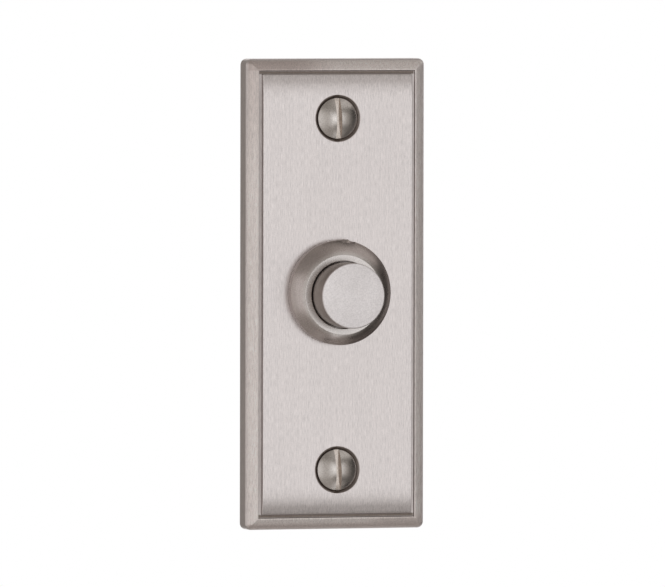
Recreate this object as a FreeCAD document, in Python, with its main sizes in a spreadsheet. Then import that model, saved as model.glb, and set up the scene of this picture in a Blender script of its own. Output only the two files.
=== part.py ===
import FreeCAD, Part
import os

import Sketcher
from FreeCAD import Placement, Rotation, Vector

# A rectangular bell push plate with a turned collar, a proud round button and its contact unit behind.
# The frame: +Z up the door, -Y out of the door towards the finger, +X to the right.
# The origin is on the button's axis, in the plane of the plate's back. Millimetres and degrees.

# Driving sizes: name, value, what it is
SIZES = (
    ("plate_wide", 33, "plate, across"),
    ("plate_long", 83, "plate, top to bottom"),
    ("plate_corner", 1.3, "corner radius in plan"),
    ("side_wall_height", 3.3, "side wall, back to the border's foot"),
    ("border_wide", 2.08, "falling border, in plan"),
    ("border_rise", 1.3, "height that the border gains inwards"),
    ("border_bulge", 3.6, "radius of the border's convex section"),
    ("groove_wide", 0.62, "groove between border and field"),
    ("groove_deep", 0.45, "groove below the border's inner edge"),
    ("field_height", 5.05, "raised field above the back"),
    ("field_end_drop", 0.35, "how far the field's ends roll over"),
    ("field_end_run", 3.7, "length over which they do"),
    ("face_wall", 2.2, "wall behind the field"),
    ("rim_wall", 2.2, "side walls of the hollow back"),
    ("hollow_corner", 1.2, "inner corner radius of the hollow"),
    ("screw_from_end", 10.5, "screw centre from the plate's end"),
    ("screw_boss_radius", 4.8, "boss round each screw hole"),
    ("screw_hole_radius", 1.95, "clearance hole for a fixing screw"),
    ("sink_rim_radius", 4.1, "countersink at the field's face"),
    ("countersink_angle", 90, "full angle of the countersink"),
    ("collar_foot_radius", 9.25, "collar's foot on the field"),
    ("collar_foot_height", 2.2, "steep wall above the field, up to the shoulder"),
    ("collar_foot_bevel", 0.4, "bevel between that wall and the shoulder"),
    ("collar_height", 3.5, "collar above the field"),
    ("collar_top_radius", 7.05, "outer edge of the collar's flat top"),
    ("collar_bulge", 6.0, "radius of its convex shoulder"),
    ("collar_lip_thick", 1.8, "lip that holds the button in"),
    ("collar_lip_gap", 0.25, "gap between lip and button"),
    ("collar_edge_break", 0.12, "chamfer at the opening"),
    ("collar_tail_wall", 1.5, "threaded tail's wall"),
    ("tail_hole_gap", 0.05, "tail in the plate's hole"),
    ("button_radius", 5.725, "button's cap"),
    ("button_proud", 5.65, "cap's face in front of the collar"),
    ("button_edge_break", 0.22, "broken edge of the cap's face"),
    ("button_flange_step", 0.725, "retaining flange beyond the cap"),
    ("button_flange_thick", 1.5, "retaining flange"),
    ("flange_fit", 0.05, "flange in the collar's bore"),
    ("travel", 2.5, "stroke of the button"),
    ("stem_radius", 2.5, "stem behind the flange"),
    ("stem_fit", 0.1, "stem in the housing's guide hole"),
    ("spigot_radius", 1.0, "thin end of the stem"),
    ("spigot_beyond_clip", 0.6, "spigot's end behind its clip"),
    ("clip_thick", 0.5, "retaining clip"),
    ("clip_radius", 2.1, "retaining clip, outside"),
    ("clip_groove_deep", 0.25, "groove that the clip sits in"),
    ("clip_mouth", 1.3, "clip's open side"),
    ("lock_washer_thick", 0.6, "toothed washer"),
    ("lock_washer_rim", 1.9, "toothed washer, width of its ring"),
    ("lock_washer_tooth_deep", 0.9, "depth of the gaps between its teeth"),
    ("lock_washer_tooth_gap", 1.1, "width of those gaps"),
    ("lock_washer_teeth", 12, "number of its teeth"),
    ("nut_thick", 2.0, "hexagon nut"),
    ("nut_flats", 19, "hexagon nut, across flats"),
    ("nut_chamfer_slope", 0.45, "fall of the nut's corner chamfer, for each mm outwards"),
    ("thread_gap", 0.03, "space left for each plain thread"),
    ("tail_in_housing", 4.75, "tail behind the nut"),
    ("housing_radius", 10.5, "contact housing, outside"),
    ("housing_wall", 1.3, "wall of its chamber"),
    ("housing_end_gap", 0.2, "tail's end to the partition"),
    ("partition_thick", 1.5, "partition with the guide hole"),
    ("grip_count", 8, "grip grooves round the housing"),
    ("grip_radius", 0.55, "grip groove"),
    ("grip_start", 0.9, "grip grooves, from the housing's front"),
    ("grip_long", 4.4, "grip grooves, length"),
    ("bush_gap", 0.4, "bush behind the partition at rest"),
    ("bush_flange_radius", 3.2, "insulating bush, flange"),
    ("bush_flange_thick", 0.9, "insulating bush, flange"),
    ("bush_sleeve_wall", 0.58, "insulating bush, sleeve"),
    ("contact_disc_gap", 0.65, "moving contact to the housing's posts"),
    ("contact_disc_thick", 0.5, "moving contact"),
    ("rear_washer_radius", 2.3, "insulating washer"),
    ("rear_washer_thick", 0.9, "insulating washer"),
    ("small_fit", 0.02, "push fit of the small stem pieces"),
    ("contact_gap", 0.03, "left between the contacts at full stroke"),
    ("rivet_from_axis", 4.0, "contact rivet from the button's axis"),
    ("rivet_head_radius", 1.2, "contact rivet's head"),
    ("rivet_face_radius", 0.8, "contact rivet's flat face"),
    ("rivet_head_height", 0.7, "contact rivet's head"),
    ("rivet_shank_radius", 0.75, "contact rivet's shank"),
    ("strip_thick", 0.6, "fixed contact strip"),
    ("strip_inner_end", 2.6, "strip's inner end from the axis"),
    ("strip_end_gap", 0.4, "strip's outer end from the chamber's wall"),
    ("strip_wide", 3.6, "fixed contact strip"),
    ("base_spigot_long", 0.8, "base's step inside the chamber"),
    ("base_spigot_fit", 0.05, "that step in the chamber"),
    ("base_set_back", 0.2, "terminal base inside the housing's outside"),
    ("base_thick", 3.2, "terminal base behind the housing"),
    ("stem_pocket_radius", 3.2, "pocket in the base for the stem's end"),
    ("stem_pocket_deep", 1.5, "pocket in the base for the stem's end"),
    ("barrier_thick", 1.4, "barrier between the terminals"),
    ("barrier_end_gap", 0.65, "barrier's ends from the base screws' heads"),
    ("barrier_high", 2.8, "barrier behind the base"),
    ("terminal_inset", 1.6, "terminal screw from the strip's outer end"),
    ("terminal_screw_radius", 1.25, "terminal screw's shank"),
    ("terminal_head_radius", 2.2, "terminal screw's head"),
    ("terminal_head_height", 1.6, "terminal screw's head"),
    ("terminal_washer_radius", 2.4, "terminal washer"),
    ("terminal_washer_thick", 0.5, "terminal washer"),
    ("terminal_slot_wide", 0.6, "slot in its head"),
    ("terminal_slot_deep", 0.8, "slot in its head"),
    ("post_inset", 1.2, "base screw from the chamber's wall"),
    ("base_screw_radius", 1.0, "base screw's shank"),
    ("base_screw_head_radius", 1.75, "base screw's head"),
    ("base_screw_head_height", 1.2, "base screw's head"),
    ("base_screw_slot_wide", 0.5, "slot in its head"),
    ("base_screw_slot_deep", 0.6, "slot in its head"),
    ("base_screw_grip", 3.4, "base screw in the housing's post"),
    ("post_radius", 1.75, "housing's post for a base screw"),
    ("screw_neck_radius", 1.45, "fixing screw's neck in the plate"),
    ("screw_shank_radius", 1.75, "fixing screw behind the plate"),
    ("screw_head_radius", 3.6, "fixing screw's head"),
    ("screw_rim_band", 0.25, "straight band at the head's rim"),
    ("screw_dome_height", 0.95, "raised part of the head"),
    ("screw_length", 25, "fixing screw, rim to point"),
    ("screw_point_long", 4.5, "tapered point"),
    ("screw_point_radius", 0.2, "blunt tip of the point"),
    ("screw_seat_gap", 0.03, "head in its countersink"),
    ("screw_slot_wide", 1.15, "fixing screw's slot"),
    ("screw_slot_deep", 1.5, "slot below the top of the dome"),
    ("screw_slot_lean", 2.5, "slot leans from upright, in degrees"),
    ("spring_coil_radius", 3.9, "return spring, wire's centre line"),
    ("spring_wire_radius", 0.35, "return spring's wire"),
    ("spring_turns", 4, "return spring's turns"),
    ("spring_end_gap", 0.02, "left at each end of the spring"),
)

# Places along the button's axis, front to back, and radii that follow from the sizes
PLACES = (
    ("field_front", "-Sizes.field_height"),
    ("border_top", "-(Sizes.side_wall_height + Sizes.border_rise)"),
    ("border_foot", "-Sizes.side_wall_height"),
    ("groove_floor", "border_top + Sizes.groove_deep"),
    ("hollow_floor", "field_front + Sizes.face_wall"),
    ("half_wide", "Sizes.plate_wide / 2"),
    ("half_long", "Sizes.plate_long / 2"),
    ("screw_z", "half_long - Sizes.screw_from_end"),
    ("collar_front", "field_front - Sizes.collar_height"),
    ("lip_rear", "collar_front + Sizes.collar_lip_thick"),
    ("lip_radius", "Sizes.button_radius + Sizes.collar_lip_gap"),
    ("flange_radius", "Sizes.button_radius + Sizes.button_flange_step"),
    ("flange_rear", "lip_rear + Sizes.button_flange_thick"),
    ("collar_bore", "flange_radius + Sizes.flange_fit"),
    ("tail_radius", "collar_bore + Sizes.collar_tail_wall"),
    ("button_face", "collar_front - Sizes.button_proud"),
    ("lock_washer_rear", "hollow_floor + Sizes.lock_washer_thick"),
    ("nut_rear", "lock_washer_rear + Sizes.nut_thick"),
    ("thread_bore", "tail_radius + Sizes.thread_gap"),
    ("nut_corner", "Sizes.nut_flats / sqrt(3)"),
    ("tail_end", "nut_rear + Sizes.tail_in_housing"),
    ("partition_front", "tail_end + Sizes.housing_end_gap"),
    ("partition_rear", "partition_front + Sizes.partition_thick"),
    ("guide_radius", "Sizes.stem_radius + Sizes.stem_fit"),
    ("chamber_radius", "Sizes.housing_radius - Sizes.housing_wall"),
    ("base_radius", "Sizes.housing_radius - Sizes.base_set_back"),
    ("base_screw_from_axis", "chamber_radius - Sizes.post_inset"),
    ("strip_outer_end", "chamber_radius - Sizes.strip_end_gap"),
    ("terminal_from_axis", "strip_outer_end - Sizes.terminal_inset"),
    ("contact_disc_radius", "base_screw_from_axis - Sizes.post_radius - Sizes.contact_disc_gap"),
    ("barrier_half", "base_screw_from_axis - Sizes.base_screw_head_radius - Sizes.barrier_end_gap"),
    ("stem_shoulder", "partition_rear + Sizes.bush_gap"),
    ("bush_bore", "Sizes.spigot_radius + Sizes.small_fit"),
    ("sleeve_radius", "bush_bore + Sizes.bush_sleeve_wall"),
    ("disc_front", "stem_shoulder + Sizes.bush_flange_thick"),
    ("disc_rear", "disc_front + Sizes.contact_disc_thick"),
    ("disc_bore", "sleeve_radius + Sizes.small_fit"),
    ("clip_front", "disc_rear + Sizes.rear_washer_thick"),
    ("clip_rear", "clip_front + Sizes.clip_thick"),
    ("clip_neck", "Sizes.spigot_radius - Sizes.clip_groove_deep"),
    ("spigot_end", "clip_rear + Sizes.spigot_beyond_clip"),
    ("rivet_face", "disc_rear + Sizes.travel + Sizes.contact_gap"),
    ("strip_front", "rivet_face + Sizes.rivet_head_height"),
    ("strip_rear", "strip_front + Sizes.strip_thick"),
    ("housing_rear", "strip_rear + Sizes.base_spigot_long"),
    ("base_rear", "housing_rear + Sizes.base_thick"),
    ("terminal_washer_rear", "base_rear + Sizes.terminal_washer_thick"),
    ("terminal_bore", "Sizes.terminal_screw_radius + Sizes.thread_gap"),
    ("base_screw_bore", "Sizes.base_screw_radius + Sizes.thread_gap"),
    ("base_screw_tip", "strip_rear - Sizes.base_screw_grip"),
    ("sink_slope", "tan(Sizes.countersink_angle / 2)"),
    ("screw_rim", "field_front + (Sizes.sink_rim_radius - Sizes.screw_head_radius) / sink_slope"),
    ("screw_seat", "screw_rim - Sizes.screw_seat_gap"),
    ("screw_neck", "screw_seat + (Sizes.screw_head_radius - Sizes.screw_neck_radius) / sink_slope"),
    ("screw_band_front", "screw_seat - Sizes.screw_rim_band"),
    ("screw_top", "screw_band_front - Sizes.screw_dome_height"),
    ("screw_tip", "screw_seat + Sizes.screw_length"),
    ("spring_front", "flange_rear + Sizes.spring_wire_radius + Sizes.spring_end_gap"),
    ("spring_rear", "partition_front - Sizes.spring_wire_radius - Sizes.spring_end_gap"),
)

# How much further a cut runs than the solid that it opens
CLEAR = 1.0

document = FreeCAD.newDocument("bell_push")


def fill_sheet(name, rows):
    """One spreadsheet row for each value: its name, its content and what it is."""
    sheet = document.addObject("Spreadsheet::Sheet", name)
    for number, row in enumerate(rows, start=1):
        sheet.set(f"A{number}", row[0])
        sheet.set(f"B{number}", str(row[1]))
        sheet.setAlias(f"B{number}", row[0])
        if len(row) > 2:
            sheet.set(f"C{number}", row[2])
    return sheet


sizes = fill_sheet("Sizes", SIZES)
places = fill_sheet("Places", [(name, "=" + formula) for name, formula in PLACES])
document.recompute()


def value(expression):
    """The number that an expression in the sheets' names gives."""
    result = places.evalExpression(str(expression))
    return float(getattr(result, "Value", result))


def new_body(label):
    body = document.addObject("PartDesign::Body", label)
    body.Label = label
    return body


def sketch_on(body, name, role, offset=None):
    """A sketch on one of the body's origin planes, moved along its normal by an expression."""
    plane = next(item for item in body.Origin.OriginFeatures if item.Role == role)
    sketch = body.newObject("Sketcher::SketchObject", name)
    sketch.AttachmentSupport = [(plane, "")]
    sketch.MapMode = "FlatFace"
    if offset is not None:
        sketch.setExpression("AttachmentOffset.Base.z", str(offset))
    return sketch


def pin_point(sketch, geometry, vertex, corner, name):
    """Tie a point of the sketch to two expressions, measured from the sketch's origin."""
    for kind, expression in zip(("DistanceX", "DistanceY"), corner):
        constraint = Sketcher.Constraint(kind, -1, 1, geometry, vertex, value(expression))
        index = sketch.addConstraint(constraint)
        sketch.renameConstraint(index, f"{name}_{kind[-1].lower()}")
        sketch.setExpression(f"Constraints.{name}_{kind[-1].lower()}", str(expression))


def arc_between(start, end, radius):
    """The shorter arc from start to end: it bulges to the right of the way there, or left if negative."""
    chord = end - start
    right = Vector(chord.y, -chord.x, 0).normalize() * (1 if radius > 0 else -1)
    height = abs(radius) - (radius**2 - (chord.Length / 2) ** 2) ** 0.5
    middle = (start + end) * 0.5 + right * height
    return Part.Arc(start, middle, end) if radius > 0 else Part.Arc(end, middle, start)


def outline(sketch, corners, arcs=None, prefix="corner"):
    """A closed chain of lines through the corners. arcs names a radius for the side after a corner."""
    arcs = arcs or {}
    first = sketch.GeometryCount
    points = [Vector(value(x), value(y), 0) for x, y in corners]
    count = len(points)
    ends = []
    for number, start in enumerate(points):
        end = points[(number + 1) % count]
        if number in arcs:
            signed = value(arcs[number])
            index = sketch.addGeometry(arc_between(start, end, signed), False)
            forward = signed > 0
            radius = Sketcher.Constraint("Radius", index, abs(signed))
            label = f"{prefix}_{number}_radius"
            sketch.renameConstraint(sketch.addConstraint(radius), label)
            sketch.setExpression(f"Constraints.{label}", f"abs({arcs[number]})")
        else:
            index = sketch.addGeometry(Part.LineSegment(start, end), False)
            forward = True
        ends.append((index, 1, 2) if forward else (index, 2, 1))
    for number, (index, start, end) in enumerate(ends):
        following = ends[(number + 1) % count]
        sketch.addConstraint(Sketcher.Constraint("Coincident", index, end, following[0], following[1]))
        pin_point(sketch, index, start, corners[number], f"{prefix}_{first}_{number}")


def circle(sketch, centre, radius, name):
    """A circle whose centre and radius are expressions."""
    middle = Vector(value(centre[0]), value(centre[1]), 0)
    index = sketch.addGeometry(Part.Circle(middle, Vector(0, 0, 1), value(radius)), False)
    pin_point(sketch, index, 3, centre, name)
    constraint = sketch.addConstraint(Sketcher.Constraint("Radius", index, value(radius)))
    sketch.renameConstraint(constraint, f"{name}_radius")
    sketch.setExpression(f"Constraints.{name}_radius", str(radius))


def rectangle(sketch, half_width, half_height, prefix="side"):
    """A rectangle centred on the sketch's origin."""
    outline(
        sketch,
        (
            (f"-({half_width})", f"-({half_height})"),
            (half_width, f"-({half_height})"),
            (half_width, half_height),
            (f"-({half_width})", half_height),
        ),
        prefix=prefix,
    )


def rounded_rectangle(sketch, half_width, half_height, radius, prefix="round"):
    """A rectangle with rounded corners, centred on the sketch's origin."""
    near_x = f"({half_width}) - ({radius})"
    near_y = f"({half_height}) - ({radius})"
    corners = (
        (f"-({near_x})", f"-({half_height})"),
        (near_x, f"-({half_height})"),
        (half_width, f"-({near_y})"),
        (half_width, near_y),
        (near_x, half_height),
        (f"-({near_x})", half_height),
        (f"-({half_width})", near_y),
        (f"-({half_width})", f"-({near_y})"),
    )
    outline(sketch, corners, {number: radius for number in (1, 3, 5, 7)}, prefix)


def pad(body, sketch, length, name, toward_back=False, middle=False):
    """Fill a sketch. One drawn on the plate's plane grows to the front unless toward_back."""
    feature = body.newObject("PartDesign::Pad", name)
    feature.Profile = sketch
    feature.setExpression("Length", str(length))
    feature.Reversed = toward_back
    feature.Midplane = middle
    sketch.Visibility = False
    return feature


def pocket(body, sketch, length, name, toward_front=False, middle=False):
    """Cut a sketch away. One drawn on the plate's plane cuts to the back unless toward_front."""
    feature = body.newObject("PartDesign::Pocket", name)
    feature.Profile = sketch
    feature.setExpression("Length", str(length))
    feature.Reversed = toward_front
    feature.Midplane = middle
    sketch.Visibility = False
    return feature


def turned(label, corners, arcs=None):
    """A body turned about the button's axis. Each corner is a radius and a place along +Y."""
    body = new_body(label)
    sketch = sketch_on(body, f"{label}_section", "XY_Plane")
    outline(sketch, corners, arcs)
    feature = body.newObject("PartDesign::Revolution", f"{label}_turning")
    feature.Profile = sketch
    feature.ReferenceAxis = (sketch, ["V_Axis"])
    feature.Angle = 360
    sketch.Visibility = False
    return body


def ring(label, inner, outer, front, rear):
    """A plain washer or tube about the button's axis."""
    return turned(label, ((inner, front), (outer, front), (outer, rear), (inner, rear)))


def around(body, feature, count, name):
    """Repeat a feature evenly round the button's axis."""
    axis = next(item for item in body.Origin.OriginFeatures if item.Role == "Y_Axis")
    pattern = body.newObject("PartDesign::PolarPattern", name)
    pattern.Originals = [feature]
    pattern.Axis = (axis, [""])
    pattern.Angle = 360
    pattern.setExpression("Occurrences", count)
    body.Tip = pattern
    return pattern


def slot_across(body, label, front, deep, wide, reach):
    """A screwdriver slot, upright, cut from the front of a head that faces -Y."""
    sketch = sketch_on(body, f"{label}_slot_plan", "XZ_Plane", f"-({front})")
    rectangle(sketch, f"({wide}) / 2", reach)
    return pocket(body, sketch, deep, f"{label}_slot")


def face_plate():
    """Cast plate: one section along its length, cut to the same falling border at both ends."""
    body = new_body("face_plate")
    edge_x = "Places.half_wide"
    edge_z = "Places.half_long"
    inner_x = "Places.half_wide - Sizes.border_wide"
    inner_z = "Places.half_long - Sizes.border_wide"
    top = "Places.border_top"
    foot = "Places.border_foot"

    section = sketch_on(body, "long_section", "XY_Plane")
    corners = (
        (f"-({edge_x})", "0"),
        (edge_x, "0"),
        (edge_x, foot),
        (inner_x, top),
        (f"-({inner_x})", top),
        (f"-({edge_x})", foot),
    )
    outline(section, corners, {2: "-Sizes.border_bulge", 4: "-Sizes.border_bulge"})
    pad(body, section, "Sizes.plate_long", "blank", middle=True)

    for end, side in (("upper", ""), ("lower", "-")):
        fall = sketch_on(body, f"{end}_border_section", "YZ_Plane")
        beyond = f"Places.half_long + {CLEAR}"
        corners = (
            (foot, f"{side}({edge_z})"),
            (foot, f"{side}({beyond})"),
            (f"{top} - {CLEAR}", f"{side}({beyond})"),
            (f"{top} - {CLEAR}", f"{side}({inner_z})"),
            (top, f"{side}({inner_z})"),
        )
        bulge = "Sizes.border_bulge" if side else "-Sizes.border_bulge"
        outline(fall, corners, {4: bulge})
        pocket(body, fall, f"Sizes.plate_wide + {CLEAR}", f"{end}_border", middle=True)

    corner_cut = sketch_on(body, "corner_plan", "XZ_Plane", f"-(Places.border_top) + {CLEAR}")
    rectangle(corner_cut, f"{edge_x} + {CLEAR}", f"{edge_z} + {CLEAR}")
    rounded_rectangle(corner_cut, edge_x, edge_z, "Sizes.plate_corner")
    pocket(body, corner_cut, f"-(Places.border_top) + 2 * {CLEAR}", "rounded_corners")

    groove = sketch_on(body, "groove_plan", "XZ_Plane", "-(Places.border_top)")
    rectangle(groove, inner_x, inner_z)
    pocket(body, groove, "Sizes.groove_deep", "groove")

    field_x = f"{inner_x} - Sizes.groove_wide"
    field_z = f"{inner_z} - Sizes.groove_wide"
    field = sketch_on(body, "field_section", "YZ_Plane")
    front = "Places.field_front"
    rolled = "Places.field_front + Sizes.field_end_drop"
    flat_z = f"{field_z} - Sizes.field_end_run"
    roll = "(Sizes.field_end_run^2 + Sizes.field_end_drop^2) / (2 * Sizes.field_end_drop)"
    corners = (
        ("Places.groove_floor", f"-({field_z})"),
        ("Places.groove_floor", field_z),
        (rolled, field_z),
        (front, flat_z),
        (front, f"-({flat_z})"),
        (rolled, f"-({field_z})"),
    )
    outline(field, corners, {2: roll, 4: roll})
    pad(body, field, f"2 * ({field_x})", "raised_field", middle=True)

    hollow = sketch_on(body, "hollow_plan", "XZ_Plane")
    rounded_rectangle(
        hollow, f"{edge_x} - Sizes.rim_wall", f"{edge_z} - Sizes.rim_wall", "Sizes.hollow_corner"
    )
    circle(hollow, ("0", "Places.screw_z"), "Sizes.screw_boss_radius", "upper_boss")
    circle(hollow, ("0", "-Places.screw_z"), "Sizes.screw_boss_radius", "lower_boss")
    pocket(body, hollow, "-(Places.hollow_floor)", "hollow_back", toward_front=True)

    tail_hole = sketch_on(body, "tail_hole_plan", "XZ_Plane", "Sizes.field_height")
    circle(tail_hole, ("0", "0"), "Places.tail_radius + Sizes.tail_hole_gap", "tail_hole")
    pocket(body, tail_hole, "Sizes.field_height", "tail_hole")

    holes = sketch_on(body, "screw_hole_plan", "XZ_Plane", "Sizes.field_height")
    circle(holes, ("0", "Places.screw_z"), "Sizes.screw_hole_radius", "upper_hole")
    circle(holes, ("0", "-Places.screw_z"), "Sizes.screw_hole_radius", "lower_hole")
    document.recompute()
    drilled = body.newObject("PartDesign::Hole", "screw_holes")
    drilled.Profile = holes
    drilled.DepthType = "ThroughAll"
    drilled.setExpression("Diameter", "2 * Sizes.screw_hole_radius")
    drilled.HoleCutType = "Countersink"
    drilled.HoleCutCustomValues = True
    drilled.setExpression("HoleCutDiameter", "2 * Sizes.sink_rim_radius")
    drilled.setExpression("HoleCutCountersinkAngle", "Sizes.countersink_angle")
    holes.Visibility = False
    return body


def button_collar():
    """Turned ring with a steep wall, a convex shoulder, a flat top, a retaining lip and a tail."""
    foot = "Places.field_front"
    shoulder = "Places.field_front - Sizes.collar_foot_height"
    shoulder_radius = "Sizes.collar_foot_radius - Sizes.collar_foot_bevel"
    corners = (
        ("Places.tail_radius", foot),
        ("Sizes.collar_foot_radius", foot),
        ("Sizes.collar_foot_radius", f"{shoulder} + Sizes.collar_foot_bevel"),
        (shoulder_radius, shoulder),
        ("Sizes.collar_top_radius", "Places.collar_front"),
        ("Places.lip_radius + Sizes.collar_edge_break", "Places.collar_front"),
        ("Places.lip_radius", "Places.collar_front + Sizes.collar_edge_break"),
        ("Places.lip_radius", "Places.lip_rear"),
        ("Places.collar_bore", "Places.lip_rear"),
        ("Places.collar_bore", "Places.tail_end"),
        ("Places.tail_radius", "Places.tail_end"),
    )
    return turned("button_collar", corners, {3: "-Sizes.collar_bulge"})


def lock_washer():
    """Flat spring washer with teeth round its bore."""
    body = ring(
        "lock_washer",
        "Places.thread_bore",
        "Places.thread_bore + Sizes.lock_washer_rim",
        "Places.hollow_floor",
        "Places.lock_washer_rear",
    )
    gap = sketch_on(body, "tooth_gap_plan", "XZ_Plane", "-(Places.hollow_floor)")
    corners = (
        ("-Sizes.lock_washer_tooth_gap / 2", f"Places.thread_bore - {CLEAR}"),
        ("Sizes.lock_washer_tooth_gap / 2", f"Places.thread_bore - {CLEAR}"),
        ("Sizes.lock_washer_tooth_gap / 2", "Places.thread_bore + Sizes.lock_washer_tooth_deep"),
        ("-Sizes.lock_washer_tooth_gap / 2", "Places.thread_bore + Sizes.lock_washer_tooth_deep"),
    )
    outline(gap, corners)
    cut = pocket(body, gap, "Sizes.lock_washer_thick", "tooth_gap")
    around(body, cut, "Sizes.lock_washer_teeth", "tooth_gaps")
    return body


def collar_nut():
    """Thin hexagon nut, its corners chamfered on the rear face."""
    body = new_body("collar_nut")
    plan = sketch_on(body, "nut_plan", "XZ_Plane", "-(Places.nut_rear)")
    corners = []
    for corner in range(6):
        angle = 60 * corner
        corners.append((f"Places.nut_corner * cos({angle}deg)", f"Places.nut_corner * sin({angle}deg)"))
    outline(plan, corners)
    circle(plan, ("0", "0"), "Places.thread_bore", "thread")
    pad(body, plan, "Sizes.nut_thick", "nut_blank")

    chamfer = sketch_on(body, "nut_chamfer_section", "XY_Plane")
    corners = (
        ("Sizes.nut_flats / 2", "Places.nut_rear"),
        (f"Places.nut_corner + {CLEAR}", "Places.nut_rear"),
        (
            f"Places.nut_corner + {CLEAR}",
            "Places.nut_rear - Sizes.nut_chamfer_slope"
            f" * (Places.nut_corner + {CLEAR} - Sizes.nut_flats / 2)",
        ),
    )
    outline(chamfer, corners)
    groove = body.newObject("PartDesign::Groove", "corner_chamfers")
    groove.Profile = chamfer
    groove.ReferenceAxis = (chamfer, ["V_Axis"])
    groove.Angle = 360
    chamfer.Visibility = False
    return body


def push_button():
    """Turned button: cap, retaining flange, stem and a grooved spigot for the contact pieces."""
    face = "Places.button_face"
    corners = (
        ("0", face),
        ("Sizes.button_radius - Sizes.button_edge_break", face),
        ("Sizes.button_radius", f"{face} + Sizes.button_edge_break"),
        ("Sizes.button_radius", "Places.lip_rear"),
        ("Places.flange_radius", "Places.lip_rear"),
        ("Places.flange_radius", "Places.flange_rear"),
        ("Sizes.stem_radius", "Places.flange_rear"),
        ("Sizes.stem_radius", "Places.stem_shoulder"),
        ("Sizes.spigot_radius", "Places.stem_shoulder"),
        ("Sizes.spigot_radius", "Places.clip_front"),
        ("Places.clip_neck", "Places.clip_front"),
        ("Places.clip_neck", "Places.clip_rear"),
        ("Sizes.spigot_radius", "Places.clip_rear"),
        ("Sizes.spigot_radius", "Places.spigot_end"),
        ("0", "Places.spigot_end"),
    )
    return turned("push_button", corners)


def return_spring():
    """Open coil round the stem, from the flange's rear to the partition."""
    coil = document.addObject("Part::Helix", "spring_line")
    coil.SegmentLength = 1
    coil.setExpression("Height", "Places.spring_rear - Places.spring_front")
    coil.setExpression("Pitch", "(Places.spring_rear - Places.spring_front) / Sizes.spring_turns")
    coil.setExpression("Radius", "Sizes.spring_coil_radius")
    wire = document.addObject("Part::RegularPolygon", "spring_wire")
    wire.Polygon = 4
    wire.setExpression("Circumradius", "Sizes.spring_wire_radius")
    wire.Placement = Placement(Vector(), Rotation(Vector(1, 0, 0), 90))
    wire.setExpression("Placement.Base.x", "Sizes.spring_coil_radius")
    spring = document.addObject("Part::Sweep", "return_spring")
    spring.Label = "return_spring"
    spring.Sections = [wire]
    spring.Spine = (coil, [])
    spring.Solid = True
    spring.Frenet = True
    spring.Placement = Placement(Vector(), Rotation(Vector(1, 0, 0), -90))
    spring.setExpression("Placement.Base.y", "Places.spring_front")
    return spring


def insulating_bush():
    """Flanged sleeve that keeps the moving contact off the stem."""
    corners = (
        ("Places.bush_bore", "Places.stem_shoulder"),
        ("Sizes.bush_flange_radius", "Places.stem_shoulder"),
        ("Sizes.bush_flange_radius", "Places.disc_front"),
        ("Places.sleeve_radius", "Places.disc_front"),
        ("Places.sleeve_radius", "Places.clip_front"),
        ("Places.bush_bore", "Places.clip_front"),
    )
    return turned("insulating_bush", corners)


def moving_contact():
    """Sprung disc that bridges the two fixed contacts."""
    return ring(
        "moving_contact",
        "Places.disc_bore",
        "Places.contact_disc_radius",
        "Places.disc_front",
        "Places.disc_rear",
    )


def insulating_washer():
    """Washer between the moving contact and the clip."""
    return ring(
        "insulating_washer",
        "Places.disc_bore",
        "Sizes.rear_washer_radius",
        "Places.disc_rear",
        "Places.clip_front",
    )


def retaining_clip():
    """Open clip in the spigot's groove."""
    body = ring(
        "retaining_clip",
        "Places.clip_neck + Sizes.small_fit",
        "Sizes.clip_radius",
        "Places.clip_front",
        "Places.clip_rear",
    )
    mouth = sketch_on(body, "clip_mouth_plan", "XZ_Plane", "-(Places.clip_front)")
    corners = (
        ("-Sizes.clip_mouth / 2", f"-Sizes.clip_radius - {CLEAR}"),
        ("Sizes.clip_mouth / 2", f"-Sizes.clip_radius - {CLEAR}"),
        ("Sizes.clip_mouth / 2", "0"),
        ("-Sizes.clip_mouth / 2", "0"),
    )
    outline(mouth, corners)
    pocket(body, mouth, "Sizes.clip_thick", "clip_mouth")
    return body


def contact_housing():
    """Moulded barrel: threaded on the collar's tail, a guide partition, a chamber with two posts."""
    corners = (
        ("Places.thread_bore", "Places.nut_rear"),
        ("Sizes.housing_radius", "Places.nut_rear"),
        ("Sizes.housing_radius", "Places.housing_rear"),
        ("Places.chamber_radius", "Places.housing_rear"),
        ("Places.chamber_radius", "Places.partition_rear"),
        ("Places.guide_radius", "Places.partition_rear"),
        ("Places.guide_radius", "Places.partition_front"),
        ("Places.thread_bore", "Places.partition_front"),
    )
    body = turned("contact_housing", corners)

    posts = sketch_on(body, "post_plan", "XZ_Plane", "-(Places.partition_rear)")
    circle(posts, ("0", "Places.base_screw_from_axis"), "Sizes.post_radius", "upper_post")
    circle(posts, ("0", "-Places.base_screw_from_axis"), "Sizes.post_radius", "lower_post")
    pad(body, posts, "Places.strip_rear - Places.partition_rear", "posts", toward_back=True)

    bores = sketch_on(body, "post_bore_plan", "XZ_Plane", "-(Places.strip_rear)")
    circle(bores, ("0", "Places.base_screw_from_axis"), "Places.base_screw_bore", "upper_bore")
    circle(bores, ("0", "-Places.base_screw_from_axis"), "Places.base_screw_bore", "lower_bore")
    pocket(body, bores, "Sizes.base_screw_grip + Sizes.thread_gap", "post_bores", toward_front=True)

    grip = sketch_on(body, "grip_plan", "XZ_Plane", "-(Places.nut_rear) - Sizes.grip_start")
    circle(grip, ("Sizes.housing_radius + Sizes.grip_radius / 3", "0"), "Sizes.grip_radius", "grip")
    cut = pocket(body, grip, "Sizes.grip_long", "grip_groove")
    around(body, cut, "Sizes.grip_count", "grip_grooves")
    return body


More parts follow.
